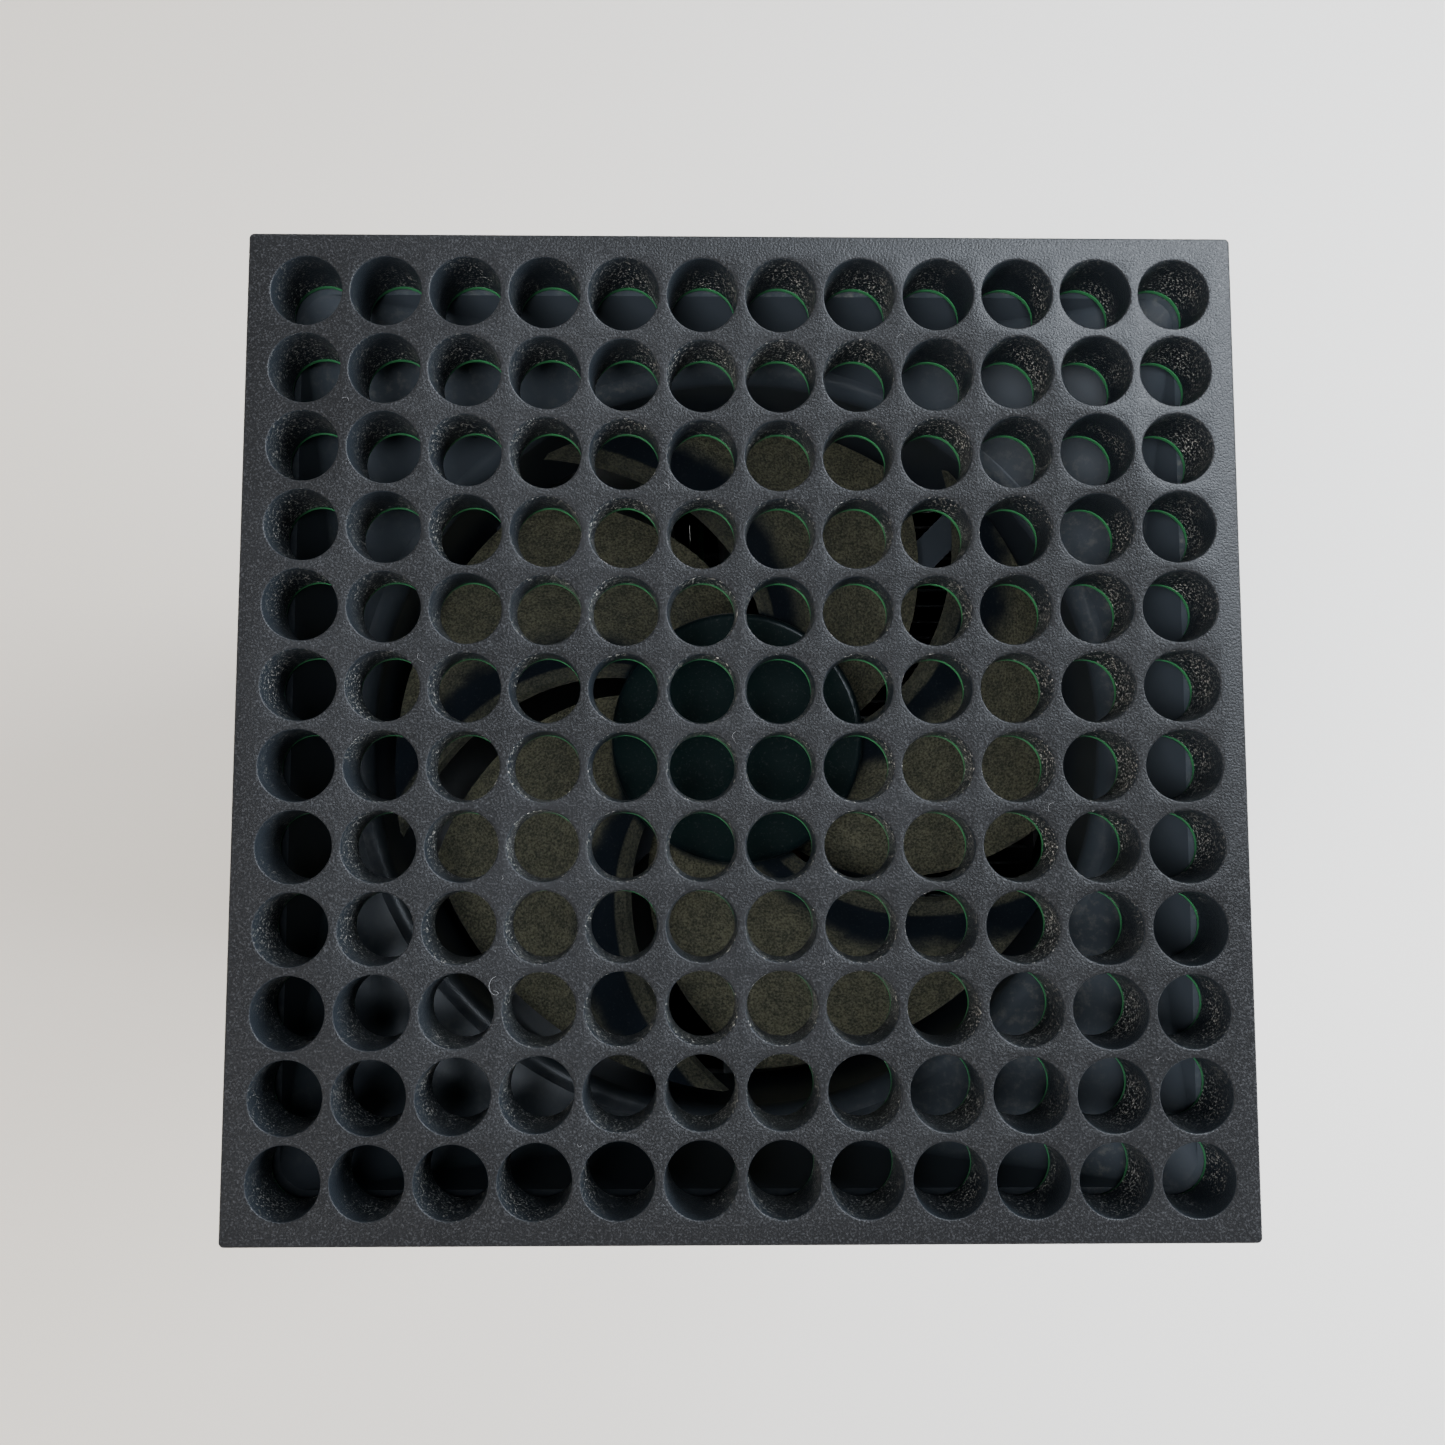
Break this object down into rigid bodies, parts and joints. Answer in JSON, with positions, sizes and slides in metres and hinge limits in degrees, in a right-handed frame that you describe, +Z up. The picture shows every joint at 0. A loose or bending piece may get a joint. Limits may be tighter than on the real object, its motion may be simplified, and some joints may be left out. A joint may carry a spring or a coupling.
{
  "type": "tower games console",
  "caption": "Square tower games console with a dished, perforated top over an axial fan, a disc slot in front and a vented back.",
  "frame": {"origin": "middle of the surface the console stands on, under its foot", "axes": "+Z up along the tower, which is its longest side; the front with the disc slot faces -Y; +X is the console's own left-to-right seen from the front"},
  "size_m": [0.1518, 0.151, 0.301],
  "materials": {
    "case": "fine bead-blasted moulding",
    "liner": "green paint, satin",
    "fan_plastic": "satin moulding, dusty",
    "fan_frame": "satin moulding",
    "rubber": "matte",
    "cast": "bead-blasted casting",
    "fins": "plain sheet",
    "copper": "nickel-free copper",
    "sheet": "plated sheet",
    "steel": "ground steel",
    "screw": "black zinc",
    "board": "solder mask",
    "chip": "moulded epoxy",
    "inner": "plain moulding",
    "button": "satin",
    "window": "dark, polished",
    "magnet": "sintered ferrite",
    "winding": "enamelled wire",
    "pad": "soft gap pad",
    "port": "plated shell",
    "port_plastic": "plain moulding"
  },
  "bodies": {
    "console": {"top_grille": "case", "outer_shell": "case", "rear_panel": "case", "base_plate": "case", "base_foot": "inner", "grille_liner": "liner", "side_feet": "rubber", "foot_ring": "rubber", "rear_screws": "screw", "bottom_screws": "screw", "fan_screws": "screw", "board_screws": "screw", "fan_housing": "fan_frame", "fan_shroud": "fan_frame", "fan_bearing": "steel", "fan_stator": "steel", "fan_windings": "winding", "fan_drive_board": "board", "core_chassis": "cast", "mainboard": "board", "io_board": "board", "processor_package": "chip", "memory_chips": "chip", "thermal_pads": "pad", "vapour_chamber": "copper", "heat_sink_fins": "fins", "air_duct": "inner", "power_coils": "chip", "coin_cell": "steel", "storage_card": "board", "wireless_module": "sheet", "aerials": "board", "speaker": "inner", "power_supply_case": "sheet", "power_supply_lid": "sheet", "power_supply_board": "board", "supply_components": "winding", "drive_base": "inner", "drive_cover": "sheet", "disc_motor": "sheet", "guide_rods": "steel", "button_switches": "port_plastic", "front_boards": "board", "infrared_window": "window", "front_usb_port": "port", "rear_usb_ports": "port", "video_port": "port", "network_port": "port_plastic", "expansion_slot": "port_plastic", "power_inlet": "port_plastic"},
    "fan_rotor": {"fan_impeller": "fan_plastic", "fan_yoke": "steel", "fan_magnet": "magnet", "fan_shaft": "steel"},
    "power_button": {"power_button": "button"},
    "eject_button": {"eject_button": "button"},
    "pair_button": {"pair_button": "button"},
    "feed_roller": {"feed_roller": "rubber"},
    "disc_spindle": {"disc_spindle": "inner"},
    "laser_sled": {"laser_sled": "inner"}
  },
  "joints": [
    {"name": "fan_spin", "type": "hinge", "parent": "console", "child": "fan_rotor", "pos_m": [0, 0, 0.26], "axis": [0, 0, 1], "continuous": true},
    {"name": "power_button_press", "type": "slide", "parent": "console", "child": "power_button", "axis": [0, 1, 0], "range_m": [0, 0.0008], "stiffness_N_per_m": 400},
    {"name": "eject_button_press", "type": "slide", "parent": "console", "child": "eject_button", "axis": [0, 1, 0], "range_m": [0, 0.0008], "stiffness_N_per_m": 400},
    {"name": "pair_button_press", "type": "slide", "parent": "console", "child": "pair_button", "axis": [0, 1, 0], "range_m": [0, 0.0008], "stiffness_N_per_m": 400},
    {"name": "feed_roller_spin", "type": "hinge", "parent": "console", "child": "feed_roller", "pos_m": [-0.0533, -0.06, 0.0805], "axis": [0, 0, 1], "continuous": true},
    {"name": "disc_spindle_spin", "type": "hinge", "parent": "console", "child": "disc_spindle", "pos_m": [-0.0528, -0.003, 0.0805], "axis": [-1, 0, 0], "continuous": true},
    {"name": "laser_sled_travel", "type": "slide", "parent": "console", "child": "laser_sled", "axis": [0, 1, 0], "range_m": [0, 0.027]}
  ]
}
